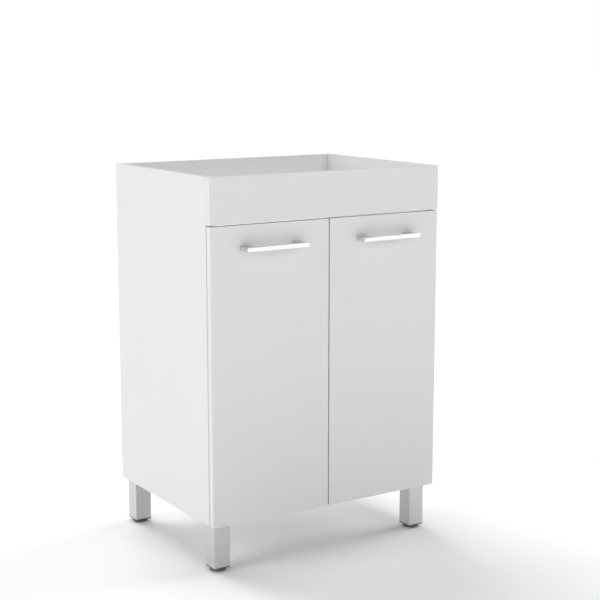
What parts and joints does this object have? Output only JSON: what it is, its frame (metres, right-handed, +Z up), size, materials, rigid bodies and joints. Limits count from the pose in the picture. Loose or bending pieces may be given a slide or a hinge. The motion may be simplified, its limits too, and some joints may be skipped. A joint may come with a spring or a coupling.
{
  "type": "bathroom vanity cabinet",
  "caption": "Free-standing white vanity cabinet with an open top for a basin, a fixed front apron, hinged doors with bar handles, and square metal legs on levelling feet.",
  "frame": {"origin": "centre of the footprint on the floor, at the bottom of the levelling feet; the footprint's depth includes the handles", "axes": "+Z up, +X to the right seen from the front, +Y towards the wall; the doors face -Y"},
  "size_m": [0.6, 0.482, 0.87],
  "materials": {
    "white_board": "smooth white melamine-faced board, satin",
    "chrome": "polished",
    "leg_metal": "brushed satin",
    "black_plastic": "moulded matte",
    "grey_plastic": "soft moulded pad",
    "zinc": "bright zinc or nickel plated",
    "beech": "fluted dowel, raw"
  },
  "bodies": {
    "carcass": {"side_panel_left": "white_board", "side_panel_right": "white_board", "bottom_panel": "white_board", "front_apron": "white_board", "front_rail": "white_board", "back_rail_top": "white_board", "back_rail_bottom": "white_board", "apron_screws": "zinc", "cam_housings": "zinc", "cam_bolts": "zinc", "wall_brackets": "zinc", "bracket_screws": "zinc", "leg_bolts": "zinc", "hinge_arms_left": "zinc", "hinge_arms_right": "zinc", "arm_pins_left": "zinc", "arm_pins_right": "zinc", "hinge_plates_left": "zinc", "hinge_plates_right": "zinc", "plate_screws_left": "zinc", "plate_screws_right": "zinc", "panel_dowels": "beech", "leg_tube_fl": "leg_metal", "leg_tube_fr": "leg_metal", "leg_tube_bl": "leg_metal", "leg_tube_br": "leg_metal", "leg_plugs": "black_plastic", "leg_end_caps": "black_plastic"},
    "door_left": {"door_left": "white_board", "door_bumpers_left": "grey_plastic", "handle_left": "chrome", "handle_screws_left": "zinc", "hinge_cups_left": "zinc", "cup_screws_left": "zinc", "cup_pins_left": "zinc"},
    "links_left": {"hinge_links_left": "zinc"},
    "door_right": {"door_right": "white_board", "door_bumpers_right": "grey_plastic", "handle_right": "chrome", "handle_screws_right": "zinc", "hinge_cups_right": "zinc", "cup_screws_right": "zinc", "cup_pins_right": "zinc"},
    "links_right": {"hinge_links_right": "zinc"},
    "foot_fl": {"foot_pad_fl": "black_plastic", "foot_stem_fl": "zinc"},
    "foot_fr": {"foot_pad_fr": "black_plastic", "foot_stem_fr": "zinc"},
    "foot_bl": {"foot_pad_bl": "black_plastic", "foot_stem_bl": "zinc"},
    "foot_br": {"foot_pad_br": "black_plastic", "foot_stem_br": "zinc"}
  },
  "joints": [
    {"name": "link_left_swing", "type": "hinge", "parent": "carcass", "child": "links_left", "pos_m": [-0.2703, -0.19, 0.438], "axis": [0, 0, 1], "range_deg": [0, 78.5]},
    {"name": "door_left_swing", "type": "hinge", "parent": "links_left", "child": "door_left", "pos_m": [-0.2866, -0.1961, 0.438], "axis": [0, 0, -1], "range_deg": [0, 178]},
    {"name": "link_right_swing", "type": "hinge", "parent": "carcass", "child": "links_right", "pos_m": [0.2703, -0.19, 0.438], "axis": [0, 0, -1], "range_deg": [0, 78.5]},
    {"name": "door_right_swing", "type": "hinge", "parent": "links_right", "child": "door_right", "pos_m": [0.2866, -0.1961, 0.438], "axis": [0, 0, 1], "range_deg": [0, 178]},
    {"name": "foot_fl_level", "type": "slide", "parent": "carcass", "child": "foot_fl", "axis": [0, 0, -1], "range_m": [0, 0.015]},
    {"name": "foot_fr_level", "type": "slide", "parent": "carcass", "child": "foot_fr", "axis": [0, 0, -1], "range_m": [0, 0.015]},
    {"name": "foot_bl_level", "type": "slide", "parent": "carcass", "child": "foot_bl", "axis": [0, 0, -1], "range_m": [0, 0.015]},
    {"name": "foot_br_level", "type": "slide", "parent": "carcass", "child": "foot_br", "axis": [0, 0, -1], "range_m": [0, 0.015]}
  ],
  "couplings": [
    {"joint": "link_left_swing", "follows": "door_left_swing", "ratio": 0.4382},
    {"joint": "link_right_swing", "follows": "door_right_swing", "ratio": 0.4382}
  ]
}
